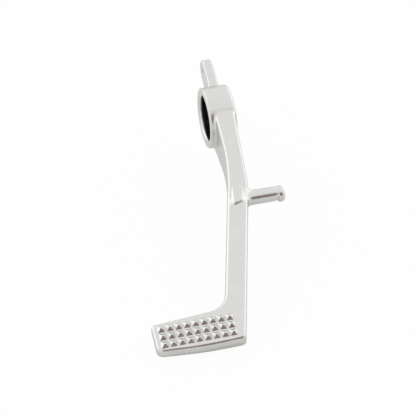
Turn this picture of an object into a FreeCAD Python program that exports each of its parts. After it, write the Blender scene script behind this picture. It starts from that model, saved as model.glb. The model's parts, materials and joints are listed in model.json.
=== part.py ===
"""Rear brake pedal of a motorbike: a one-piece aluminium casting.

The origin is the middle of the pivot bore. +X points inboard, to the bike; -Y is forward, to the
foot pad; +Z is up. Sizes are millimetres and degrees. "Forward" is the distance from the pivot
along -Y, and "drop" the distance below it.
"""
import FreeCAD, Part
import math
import os

Vector = FreeCAD.Vector

# Pivot boss
BORE_DIA = 22.0
BORE_CHAMFER = 0.9
BOSS_DIA = 29.6
BOSS_LENGTH = 13.4
BOSS_OUTBOARD_CHAMFER = 0.5
BOSS_INBOARD_ROUND = 1.8
BOSS_BLEND = 1.2

# Arm seen from the side
KNEE_FORWARD = 50.0
KNEE_DROP = 3.3
KNEE_DEPTH = 10.5
KNEE_TOP_BEND = 60.0
KNEE_UNDERSIDE_BEND = 45.0
UPPER_SLOPE = 19.5
LOWER_SLOPE = 15.0
UNDERSIDE_SLOPE = 2.0

# Arm seen from above
ARM_OUTBOARD_FACE = 4.1
OUTBOARD_BEND_FORWARD = 35.5
OUTBOARD_BEND = 95.0
INBOARD_TAPER = 4.6
INBOARD_BEND = 60.0
SPLAY = 15.5
LOWER_WIDTH = 9.9
ARM_EDGE_ROUND = 1.7

# Foot pad. Its end and the crest of its front are measured outboard from the arm's inboard side,
# where that side meets the front
PAD_FRONT_FORWARD = 122.9
PAD_DEPTH = 16.8
PAD_THICKNESS = 6.0
PAD_UNDERSIDE_RISE = 2.3
PAD_OUTBOARD_END = 39.3
PAD_CREST = 14.9
PAD_REAR_RAKE = 3.7
PAD_FRONT_RAKE = 3.1
PAD_FRONT_BOW = 220.0
PAD_OUTBOARD_FRONT_CORNER = 3.0
PAD_OUTBOARD_REAR_CORNER = 1.8
PAD_INBOARD_FRONT_CORNER = 2.0
PAD_INNER_CORNER = 9.5
PAD_HEEL_BEND = 25.0

# Grip teeth on the pad
TOOTH_COLUMNS = 9
TOOTH_ROWS = 3
TOOTH_PITCH = 3.82
TOOTH_BASE = 3.3
TOOTH_HEIGHT = 1.25
TOOTH_END_MARGIN = 4.0
TOOTH_FRONT_MARGIN = 4.4
TOOTH_SEAT = 0.3

# Push-rod ear on the rear of the boss
EAR_THICKNESS = 5.0
EAR_OFFSET = 0.65
EAR_REACH = 25.0
EAR_ANGLE = 24.0
EAR_END_RADIUS = 5.7
EAR_ROOT_RADIUS = 7.0
EAR_HOLE_DIA = 3.0
EAR_EDGE_CHAMFER = 0.6
EAR_BLEND = 0.6

# Spring peg. Its neck is set high and its head low, so the groove between them is under the shaft
PEG_FORWARD = 51.3
PEG_DROP = 8.2
PEG_TIP = 18.9
PEG_ROOT_DIA = 7.3
PEG_SHAFT_DIA = 7.0
PEG_NECK_DIA = 6.2
PEG_NECK_LENGTH = 0.9
PEG_NECK_RISE = 0.25
PEG_HEAD_DIA = 7.75
PEG_HEAD_LENGTH = 3.2
PEG_HEAD_DROP = 0.5
PEG_HEAD_ROUND = 1.7
PEG_BLEND = 1.4

# Stop lug on top of the knee
LUG_REAR_FORWARD = 47.0
LUG_LENGTH = 9.4
LUG_WIDTH = 5.1
LUG_TURN = 11.0
LUG_SKEW = 23.0
LUG_SLOPE = 10.0
LUG_FRONT_SLOPE = 55.0
LUG_EDGE_ROUND = 0.6

# Angle between two faces under which their shared edge counts as smooth, and tolerances
SMOOTH_ANGLE = 15.0
PROBE_STEP = 0.02
TOLERANCE = 0.001
SMALL = 0.01


def tan(degrees):
    """Tangent of an angle in degrees."""
    return math.tan(math.radians(degrees))


def side(forward, height):
    """Point of the side view."""
    return Vector(0, -forward, height)


def plan(x, forward):
    """Point of the top view."""
    return Vector(x, -forward, 0)


def plan_way(turn):
    """Forward direction in the top view, turned outboard."""
    return Vector(-math.sin(math.radians(turn)), -math.cos(math.radians(turn)), 0)


def crossing(point_a, way_a, point_b, way_b):
    """Where two lines of the top view cross."""
    across = Vector(way_b.y, -way_b.x, 0)
    return point_a + way_a * ((point_b - point_a).dot(across) / way_a.dot(across))


def rounded_outline(corners):
    """Closed wire through (point, radius) corners: straight runs joined by tangent arcs."""
    joins = []
    for i, (corner, radius) in enumerate(corners):
        if radius == 0:
            joins.append((corner, None, corner))
            continue
        back = (corners[i - 1][0] - corner).normalize()
        ahead = (corners[(i + 1) % len(corners)][0] - corner).normalize()
        half = back.getAngle(ahead) / 2
        reach = radius / math.tan(half)
        inward = (back + ahead).normalize()
        middle = corner + inward * (radius / math.sin(half) - radius)
        joins.append((corner + back * reach, middle, corner + ahead * reach))
    edges = []
    for i, (start, middle, stop) in enumerate(joins):
        if middle is not None:
            edges.append(Part.Arc(start, middle, stop).toShape())
        edges.append(Part.LineSegment(stop, joins[(i + 1) % len(joins)][0]).toShape())
    return Part.Wire(edges)


def prism(outline, start, length):
    """Solid of an outline pushed from a start point along a vector."""
    face = Part.Face(outline)
    face.translate(start)
    return face.extrude(length)


def edge_normals(solid, edge):
    """Middle of an edge and the outward normals of its two faces there."""
    first, last = edge.ParameterRange
    middle = edge.valueAt((first + last) / 2)
    faces = solid.ancestorsOfType(edge, Part.Face)
    return middle, [face.normalAt(*face.Surface.parameter(middle)) for face in faces]


def sharp_edges(solid, inside_corner):
    """Edges where two faces meet at an angle, at an inside or an outside corner of the solid."""
    found = []
    for edge in solid.Edges:
        middle, normals = edge_normals(solid, edge)
        if len(normals) != 2 or math.degrees(normals[0].getAngle(normals[1])) < SMOOTH_ANGLE:
            continue
        probe = middle + (normals[0] - normals[1]) * PROBE_STEP
        if solid.isInside(probe, TOLERANCE, True) == inside_corner:
            found.append(edge)
    return found


def joined(body, piece, blend):
    """Body with a piece fused on and the inside corner between them rounded."""
    whole = body.fuse(piece).removeSplitter().Solids[0]
    seam = []
    for edge in sharp_edges(whole, True):
        middle = edge_normals(whole, edge)[0]
        if body.isInside(middle, TOLERANCE, True) and piece.isInside(middle, TOLERANCE, True):
            seam.append(edge)
    return whole.makeFillet(blend, seam)


def top_height(forward):
    """Height of the arm's top face at a distance ahead of the pivot."""
    slope = UPPER_SLOPE if forward < KNEE_FORWARD else LOWER_SLOPE
    return -KNEE_DROP - (forward - KNEE_FORWARD) * tan(slope)


def arm_root():
    """Forward distance of the arm's hidden rear end, in the wall of the boss."""
    return (BOSS_DIA - BORE_DIA) / 2


def side_view_solid():
    """Arm and pad as the side view shows them, wider than the whole pedal."""
    root = arm_root()
    beyond = PAD_FRONT_FORWARD + PAD_DEPTH
    heel = PAD_FRONT_FORWARD - PAD_DEPTH
    rise = tan(PAD_UNDERSIDE_RISE)
    knee_under = top_height(KNEE_FORWARD) - KNEE_DEPTH
    pad_under = pad_x(PAD_CREST) * rise - PAD_THICKNESS
    above = top_height(0)
    below = top_height(beyond) - KNEE_DEPTH
    under_top = rounded_outline([
        (side(root, top_height(root)), 0),
        (side(KNEE_FORWARD, top_height(KNEE_FORWARD)), KNEE_TOP_BEND),
        (side(beyond, top_height(beyond)), 0),
        (side(beyond, below), 0),
        (side(root, below), 0),
    ])
    over_underside = rounded_outline([
        (side(root, above), 0),
        (side(beyond, above), 0),
        (side(beyond, top_height(beyond) + pad_under), 0),
        (side(heel, top_height(heel) + pad_under), PAD_HEEL_BEND),
        (side(KNEE_FORWARD, knee_under), KNEE_UNDERSIDE_BEND),
        (side(root, knee_under + (KNEE_FORWARD - root) * tan(UNDERSIDE_SLOPE)), 0),
    ])
    reach = BOSS_LENGTH - pad_x(PAD_OUTBOARD_END)
    level = Vector(reach, 0, 0)
    tilted = Vector(reach, 0, -reach * rise)
    return prism(under_top, level * -1, level * 2).common(prism(over_underside, tilted * -1, tilted * 2))


def outboard_bend():
    """Corner of the top view where the arm's outboard side starts to splay."""
    return plan(-ARM_OUTBOARD_FACE, OUTBOARD_BEND_FORWARD)


def splayed_line(width, forward):
    """Point of the splayed arm, a width in from its outboard side, at a distance ahead of the pivot."""
    way = plan_way(SPLAY)
    start = outboard_bend() + Vector(-way.y, way.x, 0) * width
    return crossing(start, way, plan(0, forward), Vector(1, 0, 0))


def pad_x(outboard):
    """X of a place on the pad, measured outboard from the arm's inboard side at the pad's front."""
    return splayed_line(LOWER_WIDTH, PAD_FRONT_FORWARD).x - outboard


def top_view_solid():
    """Arm and pad as the top view shows them, taller than the whole pedal."""
    boss_end = plan(BOSS_LENGTH / 2, 0)
    arm_way = plan_way(SPLAY)
    inboard_side = splayed_line(LOWER_WIDTH, PAD_FRONT_FORWARD)
    pad_front = plan(pad_x(PAD_CREST), PAD_FRONT_FORWARD)
    pad_rear = plan(pad_x(PAD_CREST), PAD_FRONT_FORWARD - PAD_DEPTH)
    front_way = Vector(-1, tan(PAD_FRONT_RAKE), 0)
    inboard_front_way = Vector(1, tan(PAD_FRONT_RAKE), 0)
    rear_way = Vector(-1, -tan(PAD_REAR_RAKE), 0)
    end = plan(pad_x(PAD_OUTBOARD_END), 0)
    end_way = Vector(0, 1, 0)
    outline = rounded_outline([
        (plan(-ARM_OUTBOARD_FACE, 0), 0),
        (outboard_bend(), OUTBOARD_BEND),
        (crossing(outboard_bend(), arm_way, pad_rear, rear_way), PAD_INNER_CORNER),
        (crossing(pad_rear, rear_way, end, end_way), PAD_OUTBOARD_REAR_CORNER),
        (crossing(pad_front, front_way, end, end_way), PAD_OUTBOARD_FRONT_CORNER),
        (pad_front, PAD_FRONT_BOW),
        (crossing(inboard_side, arm_way, pad_front, inboard_front_way), PAD_INBOARD_FRONT_CORNER),
        (crossing(boss_end, plan_way(INBOARD_TAPER), inboard_side, arm_way), INBOARD_BEND),
        (boss_end, 0),
    ])
    tall = PAD_FRONT_FORWARD
    return prism(outline, Vector(0, 0, -tall), Vector(0, 0, 2 * tall))


def arm():
    """Arm and foot pad with their edges rounded all along."""
    solid = side_view_solid().common(top_view_solid()).Solids[0]
    rims = []
    for edge in sharp_edges(solid, False):
        middle, normals = edge_normals(solid, edge)
        wall, cover = sorted(abs(normal.z) for normal in normals)
        if wall < SMALL < cover and middle.y < -arm_root() - SMALL:
            rims.append(edge)
    return solid.makeFillet(ARM_EDGE_ROUND, rims)


def boss():
    """Pivot boss, before it is bored."""
    half = BOSS_LENGTH / 2
    radius = BOSS_DIA / 2
    outline = rounded_outline([
        (Vector(-half, 0, 0), 0),
        (Vector(-half, radius - BOSS_OUTBOARD_CHAMFER, 0), 0),
        (Vector(-half + BOSS_OUTBOARD_CHAMFER, radius, 0), 0),
        (Vector(half, radius, 0), BOSS_INBOARD_ROUND),
        (Vector(half, 0, 0), 0),
    ])
    return Part.Face(outline).revolve(Vector(0, 0, 0), Vector(1, 0, 0), 360)


def bore():
    """Cutter for the pivot bore with its chamfered mouths."""
    half = BOSS_LENGTH / 2
    radius = BORE_DIA / 2
    outline = rounded_outline([
        (Vector(-half, 0, 0), 0),
        (Vector(-half, radius + BORE_CHAMFER, 0), 0),
        (Vector(-half + BORE_CHAMFER, radius, 0), 0),
        (Vector(half - BORE_CHAMFER, radius, 0), 0),
        (Vector(half, radius + BORE_CHAMFER, 0), 0),
        (Vector(half, 0, 0), 0),
    ])
    return Part.Face(outline).revolve(Vector(0, 0, 0), Vector(1, 0, 0), 360)


def ear_eye():
    """Centre of the push-rod hole."""
    angle = math.radians(EAR_ANGLE)
    return side(-EAR_REACH * math.cos(angle), EAR_REACH * math.sin(angle))


def ear():
    """Ear that tapers from the pivot to its rounded end."""
    eye = ear_eye()
    way = Vector(eye).normalize()
    across = Vector(0, -way.z, way.y)
    lean = (EAR_ROOT_RADIUS - EAR_END_RADIUS) / EAR_REACH
    flanks = [way * lean + across * (hand * math.sqrt(1 - lean * lean)) for hand in (1, -1)]
    roots = [flank * EAR_ROOT_RADIUS for flank in flanks]
    ends = [eye + flank * EAR_END_RADIUS for flank in flanks]
    outline = Part.Wire([
        Part.LineSegment(roots[0], ends[0]).toShape(),
        Part.Arc(ends[0], eye + way * EAR_END_RADIUS, ends[1]).toShape(),
        Part.LineSegment(ends[1], roots[1]).toShape(),
        Part.LineSegment(roots[1], roots[0]).toShape(),
    ])
    plate = prism(outline, Vector(EAR_OFFSET - EAR_THICKNESS / 2, 0, 0), Vector(EAR_THICKNESS, 0, 0))
    rims = [e for e in sharp_edges(plate, False) if e.CenterOfMass.Length > EAR_ROOT_RADIUS]
    return plate.makeChamfer(EAR_EDGE_CHAMFER, rims)


def ear_hole():
    """Cutter for the push rod's hole."""
    start = ear_eye() - Vector(EAR_THICKNESS, 0, 0)
    return Part.makeCylinder(EAR_HOLE_DIA / 2, 2 * EAR_THICKNESS, start, Vector(1, 0, 0))


def peg():
    """Spring peg: tapered shaft, neck for the hook and rounded head."""
    way = Vector(1, 0, 0)
    start = splayed_line(LOWER_WIDTH / 2, PEG_FORWARD).x
    head_start = PEG_TIP - PEG_HEAD_LENGTH
    shaft_length = head_start - PEG_NECK_LENGTH - start
    neck_length = PEG_TIP - PEG_HEAD_LENGTH / 2 - start
    shaft = Part.makeCone(PEG_ROOT_DIA / 2, PEG_SHAFT_DIA / 2, shaft_length, Vector(start, 0, 0), way)
    neck = Part.makeCylinder(PEG_NECK_DIA / 2, neck_length, Vector(start, 0, PEG_NECK_RISE), way)
    head = Part.makeCylinder(PEG_HEAD_DIA / 2, PEG_HEAD_LENGTH, Vector(head_start, 0, -PEG_HEAD_DROP), way)
    tip = [e for e in sharp_edges(head, False) if e.CenterOfMass.x > PEG_TIP - SMALL]
    head = head.makeFillet(PEG_HEAD_ROUND, tip)
    body = shaft.fuse([neck, head]).removeSplitter().Solids[0]
    return body.translated(side(PEG_FORWARD, -PEG_DROP))


def lug():
    """Stop lug: flush with the arm at its rear, proud of it at its skewed sloping front."""
    rear = LUG_REAR_FORWARD
    front = rear + LUG_LENGTH
    middle = rear + LUG_LENGTH / 2
    rear_top = top_height(rear)
    front_top = rear_top - LUG_LENGTH * tan(LUG_SLOPE)
    floor = front_top - KNEE_DEPTH / 2
    outline = rounded_outline([
        (side(rear, rear_top), 0),
        (side(front, front_top), 0),
        (side(front + (front_top - floor) / tan(LUG_FRONT_SLOPE), floor), 0),
        (side(rear, floor), 0),
    ])
    across = Vector(LUG_WIDTH, LUG_WIDTH * tan(LUG_SKEW), 0)
    body = prism(outline, across * -0.5, across)
    rims = [e for e in sharp_edges(body, False) if e.CenterOfMass.z > front_top - SMALL
            and e.CenterOfMass.y < -rear - SMALL]
    body = body.makeFillet(LUG_EDGE_ROUND, rims)
    body.rotate(plan(0, middle), Vector(0, 0, 1), -LUG_TURN)
    return body.translated(Vector(splayed_line(LOWER_WIDTH / 2, middle).x, 0, 0))


def teeth():
    """Grip teeth: rows of four-sided pyramids standing on the pad's top face."""
    half = TOOTH_BASE / 2 * (1 + TOOTH_SEAT / TOOTH_HEIGHT)
    apex = Vector(0, 0, TOOTH_HEIGHT)
    base = [Vector(x * half, y * half, -TOOTH_SEAT) for x, y in ((-1, -1), (1, -1), (1, 1), (-1, 1))]
    faces = [Part.Face(Part.makePolygon(base[::-1] + base[-1:]))]
    for i in range(4):
        faces.append(Part.Face(Part.makePolygon([base[i - 1], base[i], apex, base[i - 1]])))
    pyramid = Part.Solid(Part.Shell(faces))
    pyramid.rotate(Vector(0, 0, 0), Vector(1, 0, 0), LOWER_SLOPE)
    row_step = TOOTH_PITCH * math.cos(math.radians(LOWER_SLOPE))
    copies = []
    for row in range(TOOTH_ROWS):
        forward = PAD_FRONT_FORWARD - TOOTH_FRONT_MARGIN - row * row_step
        for column in range(TOOTH_COLUMNS):
            x = pad_x(PAD_OUTBOARD_END) + TOOTH_END_MARGIN + column * TOOTH_PITCH
            copies.append(pyramid.translated(Vector(x, -forward, top_height(forward))))
    return copies


def brake_pedal():
    """The whole casting, bored and drilled."""
    body = joined(arm(), boss(), BOSS_BLEND)
    body = joined(body, ear(), EAR_BLEND)
    body = joined(body, peg(), PEG_BLEND)
    body = body.fuse(lug())
    body = body.fuse(teeth())
    return body.cut([bore(), ear_hole()]).removeSplitter()


os.makedirs("parts", exist_ok=True)
pedal = brake_pedal()
print("solids", len(pedal.Solids), "valid", pedal.isValid(), "volume", round(pedal.Volume, 1), pedal.BoundBox)
pedal.Solids[0].exportStep("parts/brake_pedal.step")
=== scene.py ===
"""Looks of a motorbike's rear brake pedal: a blasted aluminium casting with a toothed foot pad.

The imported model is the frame. The casting is a softened copy of its solid, the grip teeth are set
on the places that the solid gives them, and a white tent lights both. Lengths are metres.
"""
import json
import logging
import math
from dataclasses import dataclass
from enum import Enum
from typing import Any

import bmesh
import bpy
import numpy as np
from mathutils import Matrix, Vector


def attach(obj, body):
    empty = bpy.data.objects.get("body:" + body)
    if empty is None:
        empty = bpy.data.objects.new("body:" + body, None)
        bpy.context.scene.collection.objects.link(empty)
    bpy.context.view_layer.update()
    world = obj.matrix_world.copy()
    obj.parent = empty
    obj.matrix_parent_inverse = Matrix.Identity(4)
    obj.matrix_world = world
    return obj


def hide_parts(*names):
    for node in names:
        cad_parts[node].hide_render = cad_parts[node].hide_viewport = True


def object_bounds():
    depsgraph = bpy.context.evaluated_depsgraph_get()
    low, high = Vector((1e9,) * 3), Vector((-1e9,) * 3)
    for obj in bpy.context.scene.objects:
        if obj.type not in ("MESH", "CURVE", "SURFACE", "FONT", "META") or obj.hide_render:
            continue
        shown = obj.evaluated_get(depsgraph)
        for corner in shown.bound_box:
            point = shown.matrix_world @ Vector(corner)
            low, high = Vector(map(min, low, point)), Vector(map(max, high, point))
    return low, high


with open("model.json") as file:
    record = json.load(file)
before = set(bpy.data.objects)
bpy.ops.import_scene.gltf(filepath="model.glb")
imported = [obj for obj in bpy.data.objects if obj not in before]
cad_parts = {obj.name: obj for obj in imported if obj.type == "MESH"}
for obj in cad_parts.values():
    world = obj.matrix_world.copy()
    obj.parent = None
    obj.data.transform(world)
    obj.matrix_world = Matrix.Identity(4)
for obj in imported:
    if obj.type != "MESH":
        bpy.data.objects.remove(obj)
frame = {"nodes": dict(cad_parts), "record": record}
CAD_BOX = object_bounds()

MM = 0.001
NODE = "brake_pedal"
BODY = "root"
PIVOT = "pivot_bore"
WHITE = "#FFFFFF"
WORN_EDGE = "worn_edge"
LOG = logging.getLogger("brake_pedal")


def linear(code: str) -> tuple[float, float, float, float]:
    """Turns an sRGB hex colour to linear.

    Args:
        code: The colour as "#RRGGBB".

    Returns:
        The linear colour with full alpha.
    """
    shares = [int(code[i:i + 2], 16) / 255 for i in (1, 3, 5)]
    # The numbers are those of the sRGB curve
    red, green, blue = [s / 12.92 if s <= 0.04045 else ((s + 0.055) / 1.055) ** 2.4 for s in shares]
    return red, green, blue, 1.0


def add_node(tree: bpy.types.NodeTree, kind: str, settings: dict[str, Any] | None = None,
             links: dict[Any, Any] | None = None) -> bpy.types.Node:
    """Adds a node to a tree.

    Args:
        tree: The node tree.
        kind: The node's type name.
        settings: Properties of the node by name.
        links: For each input, by name or number, a value or the socket that feeds it.

    Returns:
        The new node.
    """
    node = tree.nodes.new(kind)
    for name, value in (settings or {}).items():
        setattr(node, name, value)
    for key, source in (links or {}).items():
        if isinstance(source, bpy.types.NodeSocket):
            tree.links.new(source, node.inputs[key])
        else:
            node.inputs[key].default_value = source
    return node


def plain_mesh(piece: bpy.types.Object) -> bpy.types.Mesh:
    """Turns a piece's modifiers into its mesh and removes them.

    Args:
        piece: A mesh object with modifiers.

    Returns:
        The finished mesh, now the piece's own.
    """
    graph = bpy.context.evaluated_depsgraph_get()
    mesh = bpy.data.meshes.new_from_object(piece.evaluated_get(graph))
    mesh.name = piece.name
    piece.modifiers.clear()
    piece.data = mesh
    return mesh


def new_piece(name: str, mesh: bpy.types.Mesh) -> bpy.types.Object:
    """Adds a mesh object at the origin.

    Args:
        name: The object's name.
        mesh: Its mesh.

    Returns:
        The object, linked to the scene.
    """
    piece = bpy.data.objects.new(name, mesh)
    bpy.context.scene.collection.objects.link(piece)
    return piece


def vectors(mesh: bpy.types.Mesh, name: str) -> np.ndarray:
    """Reads a vector of each of a mesh's points.

    Args:
        mesh: The mesh.
        name: What to read, "co" for places or "normal" for normals.

    Returns:
        The vectors, one row each.
    """
    values = np.zeros(len(mesh.vertices) * 3, np.float32)
    mesh.vertices.foreach_get(name, values)
    return values.reshape(-1, 3).astype(float)


def move_points(mesh: bpy.types.Mesh, places: np.ndarray) -> None:
    """Puts a mesh's points in new places.

    Args:
        mesh: The mesh.
        places: The new places, one row each.
    """
    mesh.vertices.foreach_set("co", places.astype(np.float32).ravel())
    mesh.update()


class Neighbours:
    """The edges of a mesh, for means over the points beside each point."""

    def __init__(self, mesh: bpy.types.Mesh) -> None:
        """Reads the edges.

        Args:
            mesh: The mesh.
        """
        ends = np.zeros(len(mesh.edges) * 2, np.int32)
        mesh.edges.foreach_get("vertices", ends)
        self.first, self.second = ends.reshape(-1, 2).T
        self.count = len(mesh.vertices)
        self.number = np.maximum(np.bincount(ends, minlength=self.count), 1)

    def mean(self, values: np.ndarray) -> np.ndarray:
        """Averages over each point's neighbours.

        Args:
            values: A number, or a row of numbers, for each point.

        Returns:
            The means, in the same form.
        """
        if values.ndim > 1:
            return np.stack([self.mean(column) for column in values.T], axis=1)
        total = np.bincount(self.first, values[self.second], self.count)
        total += np.bincount(self.second, values[self.first], self.count)
        return total / self.number


class SoftBox(Enum):
    """Directions of the tent's brighter walls, which light the two sides of the arm."""

    OUTBOARD = (-0.70, 0.65, 0.30)
    INBOARD = (0.88, 0.45, 0.16)


@dataclass(frozen=True)
class BlastedAluminium:
    """Cast aluminium, blasted with fine grit."""

    bright: str = "#D9D9D7"
    dull: str = "#D1D1CF"
    roughness: float = 0.28
    roughness_spread: float = 0.05
    # How much smoother the rubbed edges are
    edge_polish: float = 0.06
    # Blasting grit leaves pits of about 0.1 mm, drawn wider so that they show
    grit_mm: float = 0.42
    grit_depth_mm: float = 0.006
    grit_detail: float = 2.0
    # Patches left by the mould's skin
    patch_mm: float = 4.0
    patch_detail: float = 3.0
    # Painted shade: this colour darkens the pivot bore's wall in place of the shade deep inside it
    bore_painted_shade: str = "#3E3936"
    # The painted shade of the bore starts on its chamfer
    bore_shade_margin_mm: float = 0.4
    bore_shade_fade_mm: float = 1.8

    def material(self, bore_radius: float, bore_half: float) -> bpy.types.Material:
        """Builds the shader.

        Args:
            bore_radius: Radius of the pivot bore, whose wall is painted darker inside as shade.
            bore_half: Half the length of the bore.

        Returns:
            The material.
        """
        # Gives the eye a pale satin skin with soft patches, shinier along the rubbed edges, with shade
        # painted into the pivot bore
        made = bpy.data.materials.new("blasted_cast_aluminium")
        made.use_nodes = True
        tree = made.node_tree
        shader = tree.nodes["Principled BSDF"]
        place = add_node(tree, "ShaderNodeTexCoord").outputs["Object"]
        patches = add_node(tree, "ShaderNodeTexNoise", {}, {
            "Vector": place, "Scale": 1 / (self.patch_mm * MM), "Detail": self.patch_detail})
        grit = add_node(tree, "ShaderNodeTexNoise", {}, {
            "Vector": place, "Scale": 1 / (self.grit_mm * MM), "Detail": self.grit_detail})
        skin = add_node(tree, "ShaderNodeMix", {"data_type": "RGBA"}, {
            "Factor": patches.outputs["Fac"], "A": linear(self.dull), "B": linear(self.bright)})
        # Painted shade: the bore's wall is darkened in its colour where shade falls inside it
        dark = self.painted_bore_shade_mask(tree, place, bore_radius, bore_half)
        colour = add_node(tree, "ShaderNodeMix", {"data_type": "RGBA"}, {
            "Factor": dark, "A": skin.outputs["Result"], "B": linear(self.bore_painted_shade)})
        worn = add_node(tree, "ShaderNodeAttribute", {"attribute_name": WORN_EDGE})
        uneven = add_node(tree, "ShaderNodeMapRange", {}, {
            "Value": patches.outputs["Fac"],
            "To Min": self.roughness - self.roughness_spread,
            "To Max": self.roughness + self.roughness_spread})
        rough = add_node(tree, "ShaderNodeMath", {"operation": "MULTIPLY_ADD"}, {
            0: worn.outputs["Fac"], 1: -self.edge_polish, 2: uneven.outputs["Result"]})
        bump = add_node(tree, "ShaderNodeBump", {}, {
            "Strength": 1.0, "Distance": self.grit_depth_mm * MM, "Height": grit.outputs["Fac"]})
        shader.inputs["Metallic"].default_value = 1.0
        tree.links.new(colour.outputs["Result"], shader.inputs["Base Color"])
        tree.links.new(rough.outputs["Value"], shader.inputs["Roughness"])
        tree.links.new(bump.outputs["Normal"], shader.inputs["Normal"])
        return made

    def painted_bore_shade_mask(self, tree: bpy.types.NodeTree, place: bpy.types.NodeSocket, radius: float,
                  half: float) -> bpy.types.NodeSocket:
        """Marks the wall of the pivot bore beyond its mouths, where shade is painted into the colour.

        Args:
            tree: The material's node tree.
            place: Object coordinates.
            radius: Radius of the bore.
            half: Half its length.

        Returns:
            A socket that is 1 where the bore's wall gets full painted shade and 0 elsewhere.
        """
        across = add_node(tree, "ShaderNodeVectorMath", {"operation": "MULTIPLY"}, {
            0: place, 1: (0.0, 1.0, 1.0)})
        distance = add_node(tree, "ShaderNodeVectorMath", {"operation": "LENGTH"}, {
            0: across.outputs["Vector"]})
        inside = add_node(tree, "ShaderNodeMath", {"operation": "LESS_THAN"}, {
            0: distance.outputs["Value"], 1: radius + self.bore_shade_margin_mm * MM})
        along = add_node(tree, "ShaderNodeSeparateXYZ", {}, {"Vector": place})
        depth = add_node(tree, "ShaderNodeMath", {"operation": "ABSOLUTE"}, {0: along.outputs["X"]})
        end = half + self.bore_shade_margin_mm * MM
        fade = add_node(tree, "ShaderNodeMapRange", {"interpolation_type": "SMOOTHSTEP"}, {
            "Value": depth.outputs["Value"], "From Min": end, "From Max": end - self.bore_shade_fade_mm * MM})
        both = add_node(tree, "ShaderNodeMath", {"operation": "MULTIPLY"}, {
            0: inside.outputs["Value"], 1: fade.outputs["Result"]})
        return both.outputs["Value"]


@dataclass(frozen=True)
class WhitePaper:
    """Matt white paper, swept under the pedal."""

    colour: str = "#E6E6E5"
    # Share of plain white in what the camera sees, the rest being lit and in shadow
    plain: float = 0.95

    def material(self) -> bpy.types.Material:
        """Builds the shader.

        Returns:
            The material.
        """
        # Gives the eye a white ground with a trace of shadow, and the metal a pale grey to mirror
        made = bpy.data.materials.new("white_paper")
        made.use_nodes = True
        tree = made.node_tree
        tree.nodes.clear()
        lit = add_node(tree, "ShaderNodeBsdfDiffuse", {}, {"Color": linear(self.colour)})
        white = add_node(tree, "ShaderNodeEmission", {}, {"Color": linear(WHITE), "Strength": 1.0})
        rays = add_node(tree, "ShaderNodeLightPath")
        share = add_node(tree, "ShaderNodeMath", {"operation": "MULTIPLY"}, {
            0: rays.outputs["Is Camera Ray"], 1: self.plain})
        seen = add_node(tree, "ShaderNodeMixShader", {}, {
            0: share.outputs["Value"], 1: lit.outputs["BSDF"], 2: white.outputs["Emission"]})
        add_node(tree, "ShaderNodeOutputMaterial", {}, {"Surface": seen.outputs["Shader"]})
        return made


@dataclass(frozen=True)
class Hollow:
    """A place where corners of the casting run into each other softly, out to a distance."""

    centre: Vector
    reach: float


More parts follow.
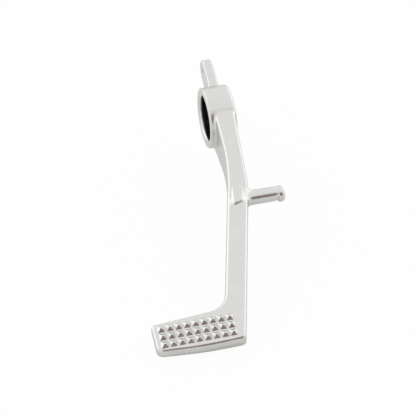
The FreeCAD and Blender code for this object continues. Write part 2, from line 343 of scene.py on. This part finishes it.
@dataclass
class Casting:
    """The casting without its grip teeth: a copy of the solid, softened as a casting's edges are."""

    # The copy is welded and then made again in even steps, which the smoothing rounds off
    weld: float = 0.002 * MM
    voxel: float = 0.36 * MM
    smoothing: int = 3
    # Distances ahead of the pivot where the knee ends and the teeth start
    knee_end: float = 60 * MM
    teeth_from: float = 100 * MM
    # A point counts as a tooth's tip from this height over the pad, and a face as a top when its
    # normal is this upright
    proud: float = 0.05 * MM
    upright: float = 0.9
    # Where the peg leaves the arm beside the lug, and at the lug's outboard foot, the corners run
    # into soft hollows
    hollows: tuple[Hollow, ...] = (
        Hollow(Vector((1.8, -53.0, -4.8)) * MM, 5.2 * MM),
        Hollow(Vector((-7.9, -55.6, -4.4)) * MM, 2.6 * MM),
    )
    hollow_smoothing: int = 40
    # The pad's front wall leans back above and below the mould's parting line
    parting_depth: float = 2.6 * MM
    parting_round: float = 0.5 * MM
    upper_draft: float = math.radians(10)
    lower_draft: float = math.radians(8)
    # Forward parts of the normal from which a point starts to lean and leans in full
    facing: tuple[float, float] = (0.35, 0.9)
    # The skin of a sand casting waves in by a little
    ripple_depth: float = 0.1 * MM
    ripple_length: float = 8 * MM
    ripple_spread: float = 0.4
    ripple_waves: int = 8
    ripple_seed: int = 11
    # Bend, per metre, at which an outside edge is rubbed bright, and the rounds that spread it
    worn_curve: float = 900.0
    worn_spread: int = 6

    def __post_init__(self) -> None:
        """Sets what build() finds on the pad."""
        self.tooth_tips: list[Vector] = []
        self.pad_normal = Vector((0, 0, 1))
        self.pad_height = 0.0

    def build(self, finish: bpy.types.Material) -> bpy.types.Object:
        """Makes the piece.

        Args:
            finish: Its material.

        Returns:
            The piece, in place of the solid.
        """
        piece = new_piece("casting", self.bare_copy())
        remesh = piece.modifiers.new("remesh", "REMESH")
        remesh.mode = "VOXEL"
        remesh.voxel_size = self.voxel
        soften = piece.modifiers.new("soften", "SMOOTH")
        soften.iterations = self.smoothing
        mesh = plain_mesh(piece)
        mesh.shade_smooth()
        self.soften_hollows(mesh)
        self.lean_front(mesh)
        self.ripple_skin(mesh)
        self.mark_edges(mesh)
        mesh.materials.append(finish)
        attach(piece, BODY)
        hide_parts(NODE)
        return piece

    def bare_copy(self) -> bpy.types.Mesh:
        """Copies the solid, welds the copy and takes its teeth off.

        Returns:
            The copy.
        """
        work = bmesh.new()
        work.from_mesh(frame["nodes"][NODE].data)
        bmesh.ops.remove_doubles(work, verts=work.verts, dist=self.weld)
        self.find_pad(work)
        self.take_off_teeth(work)
        mesh = bpy.data.meshes.new("casting")
        work.to_mesh(mesh)
        work.free()
        return mesh

    def find_pad(self, work: bmesh.types.BMesh) -> None:
        """Finds the plane of the pad's top: that of the largest face ahead of the knee.

        Args:
            work: The solid's welded mesh.
        """
        tops = [face for face in work.faces if face.normal.z > self.upright
                and face.calc_center_median().y < -self.knee_end]
        largest = max(tops, key=lambda face: face.calc_area())
        self.pad_normal = largest.normal.copy()
        self.pad_height = self.pad_normal.dot(largest.verts[0].co)

    def take_off_teeth(self, work: bmesh.types.BMesh) -> None:
        """Removes the solid's plain pyramids, closes the pad and keeps the places of their tips.

        Args:
            work: The solid's welded mesh.
        """
        tips = [v for v in work.verts if v.co.y < -self.teeth_from
                and self.pad_normal.dot(v.co) - self.pad_height > self.proud]
        self.tooth_tips = [v.co.copy() for v in tips]
        bmesh.ops.delete(work, geom=tips, context="VERTS")
        rims = [e for e in work.edges if e.is_boundary]
        bmesh.ops.holes_fill(work, edges=rims, sides=0)

    def soften_hollows(self, mesh: bpy.types.Mesh) -> None:
        """Softens the corners between the arm, the peg and the lug.

        Args:
            mesh: The softened mesh.
        """
        beside = Neighbours(mesh)
        places = vectors(mesh, "co")
        share = np.zeros(len(places))
        for hollow in self.hollows:
            apart = np.linalg.norm(places - np.array(hollow.centre), axis=1)
            share = np.maximum(share, np.sqrt(np.clip(1 - apart / hollow.reach, 0, 1)))
        for _ in range(self.hollow_smoothing):
            places += share[:, None] * (beside.mean(places) - places) / 2
        move_points(mesh, places)

    def lean_front(self, mesh: bpy.types.Mesh) -> None:
        """Gives the pad's front wall the draft by which it leaves the mould.

        Args:
            mesh: The softened mesh.
        """
        places = vectors(mesh, "co")
        below = self.pad_height - places @ np.array(self.pad_normal) - self.parting_depth
        draft = np.where(below < 0, math.tan(self.upper_draft), math.tan(self.lower_draft))
        # A hyperbola for each side rounds the parting line
        back = draft * (np.hypot(below, self.parting_round) - self.parting_round)
        none, full = self.facing
        share = np.clip((-vectors(mesh, "normal")[:, 1] - none) / (full - none), 0, 1)
        on_pad = places[:, 1] < -self.teeth_from
        places[:, 1] += np.where(on_pad, share * back, 0)
        move_points(mesh, places)

    def ripple_skin(self, mesh: bpy.types.Mesh) -> None:
        """Lets the skin wave inward by a few hundredths of a millimetre.

        Args:
            mesh: The softened mesh.
        """
        places = vectors(mesh, "co")
        chance = np.random.default_rng(self.ripple_seed)
        wave = np.zeros(len(places))
        for _ in range(self.ripple_waves):
            way = chance.normal(size=3)
            length = self.ripple_length * chance.uniform(1 - self.ripple_spread, 1 + self.ripple_spread)
            turn = places @ (way / np.linalg.norm(way)) * (2 * math.pi / length)
            wave += np.sin(turn + chance.uniform(0, 2 * math.pi)) / self.ripple_waves
        places -= vectors(mesh, "normal") * (self.ripple_depth * (1 + wave) / 2)[:, None]
        move_points(mesh, places)

    def mark_edges(self, mesh: bpy.types.Mesh) -> None:
        """Writes how far each point stands out as an outside edge, from 0 to 1.

        Args:
            mesh: The softened mesh.
        """
        beside = Neighbours(mesh)
        places = vectors(mesh, "co")
        bend = np.sum((places - beside.mean(places)) * vectors(mesh, "normal"), axis=1) / self.voxel ** 2
        for _ in range(self.worn_spread):
            bend = (bend + beside.mean(bend)) / 2
        worn = np.clip(bend / self.worn_curve, 0, 1)
        layer = mesh.attributes.new(WORN_EDGE, "FLOAT", "POINT")
        layer.data.foreach_set("value", worn.astype(np.float32))


@dataclass
class GripTeeth:
    """The rows of four-sided teeth on the foot pad, cast with it: each has a short ridge on top."""

    # Height of the solid's plain pyramids, whose tips give the teeth their places
    pyramid: float = 1.25 * MM
    # The cast teeth are a little smaller, at the same slope
    sides: int = 4
    base: float = 3.1 * MM
    height: float = 1.18 * MM
    # Width and length of the flat on top
    tip: float = 0.4 * MM
    ridge: float = 0.75 * MM
    # Depth of the foot inside the pad
    sunk: float = 0.35 * MM
    # The edges keep most of their crease as they are divided and rounded
    fineness: int = 3
    rounding: int = 1
    crease: float = 0.93
    # The smallest teeth lack this share of the full size
    uneven: float = 0.03
    seed: int = 4

    def tree(self) -> bpy.types.NodeTree:
        """Builds the node group that sets a rounded tooth on each point.

        Returns:
            The group. Its inputs are the tooth's sizes and variation, the pad's tilt and the material.
        """
        group = bpy.data.node_groups.new("grip_teeth", "GeometryNodeTree")
        inputs = {
            "Geometry": "Geometry", "Foot Radius": "Float", "Tip Radius": "Float", "Full Height": "Float",
            "Smallest": "Float", "Sinking": "Vector", "Stretch": "Vector", "Tilt": "Vector", "Seed": "Int",
            "Material": "Material",
        }
        for name, kind in inputs.items():
            group.interface.new_socket(name, in_out="INPUT", socket_type=f"NodeSocket{kind}")
        group.interface.new_socket("Geometry", in_out="OUTPUT", socket_type="NodeSocketGeometry")
        given = add_node(group, "NodeGroupInput").outputs
        points = add_node(group, "GeometryNodeMeshToPoints", {}, {"Mesh": given["Geometry"]})
        size = add_node(group, "FunctionNodeRandomValue", {"data_type": "FLOAT"}, {
            2: given["Smallest"], 3: 1.0, "Seed": given["Seed"]})
        set_out = add_node(group, "GeometryNodeInstanceOnPoints", {}, {
            "Points": points.outputs["Points"], "Instance": self.tooth(group, given),
            "Rotation": given["Tilt"], "Scale": size.outputs[1]})
        real = add_node(group, "GeometryNodeRealizeInstances", {}, {
            "Geometry": set_out.outputs["Instances"]})
        dressed = add_node(group, "GeometryNodeSetMaterial", {}, {
            "Geometry": real.outputs["Geometry"], "Material": given["Material"]})
        add_node(group, "NodeGroupOutput", {}, {"Geometry": dressed.outputs["Geometry"]})
        return group

    def tooth(self, group: bpy.types.NodeTree, given: Any) -> bpy.types.NodeSocket:
        """Adds the nodes of one tooth: a blunt pyramid with a stretched top and rounded edges.

        Args:
            group: The node group.
            given: The group's inputs.

        Returns:
            The socket of the tooth's mesh.
        """
        cone = add_node(group, "GeometryNodeMeshCone", {"fill_type": "NGON"}, {
            "Vertices": self.sides, "Radius Top": given["Tip Radius"], "Radius Bottom": given["Foot Radius"],
            "Depth": given["Full Height"]})
        square = add_node(group, "GeometryNodeTransform", {}, {
            "Geometry": cone.outputs["Mesh"], "Translation": given["Sinking"],
            "Rotation": (0.0, 0.0, math.pi / self.sides)})
        corner = add_node(group, "GeometryNodeInputPosition")
        height = add_node(group, "ShaderNodeSeparateXYZ", {}, {"Vector": corner.outputs["Position"]})
        is_top = add_node(group, "ShaderNodeMath", {"operation": "GREATER_THAN"}, {
            0: height.outputs["Z"], 1: 0.0})
        ridge = add_node(group, "ShaderNodeVectorMath", {"operation": "MULTIPLY"}, {
            0: corner.outputs["Position"], 1: given["Stretch"]})
        hipped = add_node(group, "GeometryNodeSetPosition", {}, {
            "Geometry": square.outputs["Geometry"], "Position": ridge.outputs["Vector"],
            "Selection": is_top.outputs["Value"]})
        fine = add_node(group, "GeometryNodeSubdivideMesh", {}, {
            "Mesh": hipped.outputs["Geometry"], "Level": self.fineness})
        round_edge = add_node(group, "GeometryNodeSubdivisionSurface", {}, {
            "Mesh": fine.outputs["Mesh"], "Level": self.rounding, "Edge Crease": self.crease})
        smooth = add_node(group, "GeometryNodeSetShadeSmooth", {}, {
            "Geometry": round_edge.outputs["Mesh"]})
        return smooth.outputs["Geometry"]

    def build(self, casting: Casting, finish: bpy.types.Material) -> bpy.types.Object:
        """Makes the piece.

        Args:
            casting: The finished casting, which gives the teeth their places.
            finish: The teeth's material.

        Returns:
            The teeth as one mesh.
        """
        feet = [tip - casting.pad_normal * self.pyramid for tip in casting.tooth_tips]
        mesh = bpy.data.meshes.new("grip_teeth")
        mesh.from_pydata(feet, [], [])
        piece = new_piece("grip_teeth", mesh)
        group = self.tree()
        tilt = Vector((0, 0, 1)).rotation_difference(casting.pad_normal).to_euler()
        full = self.height + self.sunk
        # From the width across the flats to the radius of the corners
        to_corner = 0.5 / math.cos(math.pi / self.sides)
        values = {
            "Foot Radius": self.base * full / self.height * to_corner,
            "Tip Radius": self.tip * to_corner,
            "Full Height": full,
            "Smallest": 1 - self.uneven,
            "Sinking": (0.0, 0.0, -self.sunk),
            "Stretch": (self.ridge / self.tip, 1.0, 1.0),
            "Tilt": tuple(tilt),
            "Seed": self.seed,
            "Material": finish,
        }
        modifier = piece.modifiers.new("teeth", "NODES")
        modifier.node_group = group
        for item in group.interface.items_tree:
            if item.in_out == "INPUT" and item.name in values:
                modifier[item.identifier] = values[item.name]
        plain_mesh(piece)
        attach(piece, BODY)
        return piece


def direction(azimuth: float, elevation: float) -> Vector:
    """Direction from the object: azimuth 0 is forward, along -Y, and a quarter turn is along +X."""
    level = math.cos(elevation)
    return Vector((math.sin(azimuth) * level, -math.cos(azimuth) * level, math.sin(elevation)))


@dataclass
class Studio:
    """A white light tent with a dark opening in front, a camera and a pale floor."""

    # The camera looks from the photograph's angle, at its scale
    azimuth: float = math.radians(-14)
    elevation: float = math.radians(43)
    distance: float = 720 * MM
    aim: Vector = Vector((-11.71, -28.18, -32.37)) * MM
    # Focal length and sensor in millimetres, as Blender takes them
    lens: float = 128.98
    sensor: float = 36.0
    # The floor lies a little under the pedal and runs far out
    floor_gap: float = 0.3 * MM
    floor_half: float = 6.0
    # The opening is a warm dark round, which fades out between the two angles
    opening_azimuth: float = math.radians(13)
    opening_elevation: float = math.radians(30)
    opening: str = "#7C5F55"
    opening_half: float = math.radians(16)
    opening_fade: float = math.radians(28)
    # Light levels of the cloth and of the soft boxes, which fade out in the same way
    tent: float = 1.05
    softbox: float = 1.5
    softbox_half: float = math.radians(18)
    softbox_fade: float = math.radians(48)

    def towards_camera(self) -> Vector:
        """Direction from the object to the camera."""
        return direction(self.azimuth, self.elevation)

    def add_camera(self) -> None:
        """Adds the camera at the photograph's viewing angle."""
        data = bpy.data.cameras.new("camera")
        data.lens = self.lens
        data.sensor_width = self.sensor
        camera = bpy.data.objects.new("camera", data)
        camera.location = self.aim + self.towards_camera() * self.distance
        camera.rotation_euler = self.towards_camera().to_track_quat("Z", "Y").to_euler()
        bpy.context.scene.collection.objects.link(camera)
        bpy.context.scene.camera = camera

    def nearness(self, tree: bpy.types.NodeTree, centre: Vector, full: float,
                 none: float) -> bpy.types.NodeSocket:
        """Marks the directions near a given one.

        Args:
            tree: The world's node tree.
            centre: The direction.
            full: Angle from it within which the mark is 1.
            none: Angle beyond which it is 0.

        Returns:
            The socket of the mark.
        """
        way = add_node(tree, "ShaderNodeTexCoord").outputs["Generated"]
        along = add_node(tree, "ShaderNodeVectorMath", {"operation": "DOT_PRODUCT"}, {
            0: way, 1: centre.normalized()})
        mark = add_node(tree, "ShaderNodeMapRange", {"interpolation_type": "SMOOTHSTEP"}, {
            "Value": along.outputs["Value"], "From Min": math.cos(none), "From Max": math.cos(full)})
        return mark.outputs["Result"]

    def add_tent(self) -> None:
        """Lights the scene: white all round, brighter at two sides, dark at the opening in front."""
        world = bpy.data.worlds.new("tent")
        world.use_nodes = True
        tree = world.node_tree
        tree.nodes.clear()
        sides = [self.nearness(tree, Vector(box.value), self.softbox_half, self.softbox_fade)
                 for box in SoftBox]
        boxes = add_node(tree, "ShaderNodeMath", {"operation": "ADD"}, dict(enumerate(sides)))
        level = add_node(tree, "ShaderNodeMapRange", {}, {
            "Value": boxes.outputs["Value"], "To Min": self.tent, "To Max": self.softbox}).outputs["Result"]
        cloth = add_node(tree, "ShaderNodeCombineColor", {}, {0: level, 1: level, 2: level})
        hole = self.nearness(tree, direction(self.opening_azimuth, self.opening_elevation),
                             self.opening_half, self.opening_fade)
        tent = add_node(tree, "ShaderNodeMix", {"data_type": "RGBA"}, {
            "Factor": hole, "A": cloth.outputs["Color"], "B": linear(self.opening)})
        light = add_node(tree, "ShaderNodeBackground", {}, {"Color": tent.outputs["Result"]})
        white = add_node(tree, "ShaderNodeBackground", {}, {"Color": linear(WHITE)})
        rays = add_node(tree, "ShaderNodeLightPath")
        seen = add_node(tree, "ShaderNodeMixShader", {}, {
            0: rays.outputs["Is Camera Ray"], 1: light.outputs["Background"],
            2: white.outputs["Background"]})
        add_node(tree, "ShaderNodeOutputWorld", {}, {"Surface": seen.outputs["Shader"]})
        bpy.context.scene.world = world

    def add_floor(self) -> bpy.types.Object:
        """Adds the pale floor just under the pedal.

        Returns:
            The floor.
        """
        height = CAD_BOX[0].z - self.floor_gap
        half = self.floor_half
        signs = ((-1, -1), (1, -1), (1, 1), (-1, 1))
        mesh = bpy.data.meshes.new("floor")
        mesh.from_pydata([(x * half, y * half, height) for x, y in signs], [], [range(len(signs))])
        floor = new_piece("floor", mesh)
        mesh.materials.append(WhitePaper().material())
        return floor

    def build(self) -> bpy.types.Object:
        """Adds the camera, the light and the floor.

        Returns:
            The floor.
        """
        self.add_camera()
        self.add_tent()
        bpy.context.scene.view_settings.view_transform = "Standard"
        return self.add_floor()


def main() -> None:
    """Builds the pedal and the studio, and reports each piece."""
    logging.basicConfig(level=logging.INFO, format="%(name)s: %(message)s")
    bore = next(mount for mount in frame["record"]["mounts"] if mount["name"] == PIVOT)["dims"]
    finish = BlastedAluminium().material(bore["r_mm"] * MM, bore["length_mm"] * MM / 2)
    casting = Casting()
    pieces = [casting.build(finish), GripTeeth().build(casting, finish), Studio().build()]
    for piece in pieces:
        LOG.info("%s: %d faces", piece.name, len(piece.data.polygons))


if __name__ == "__main__":
    main()
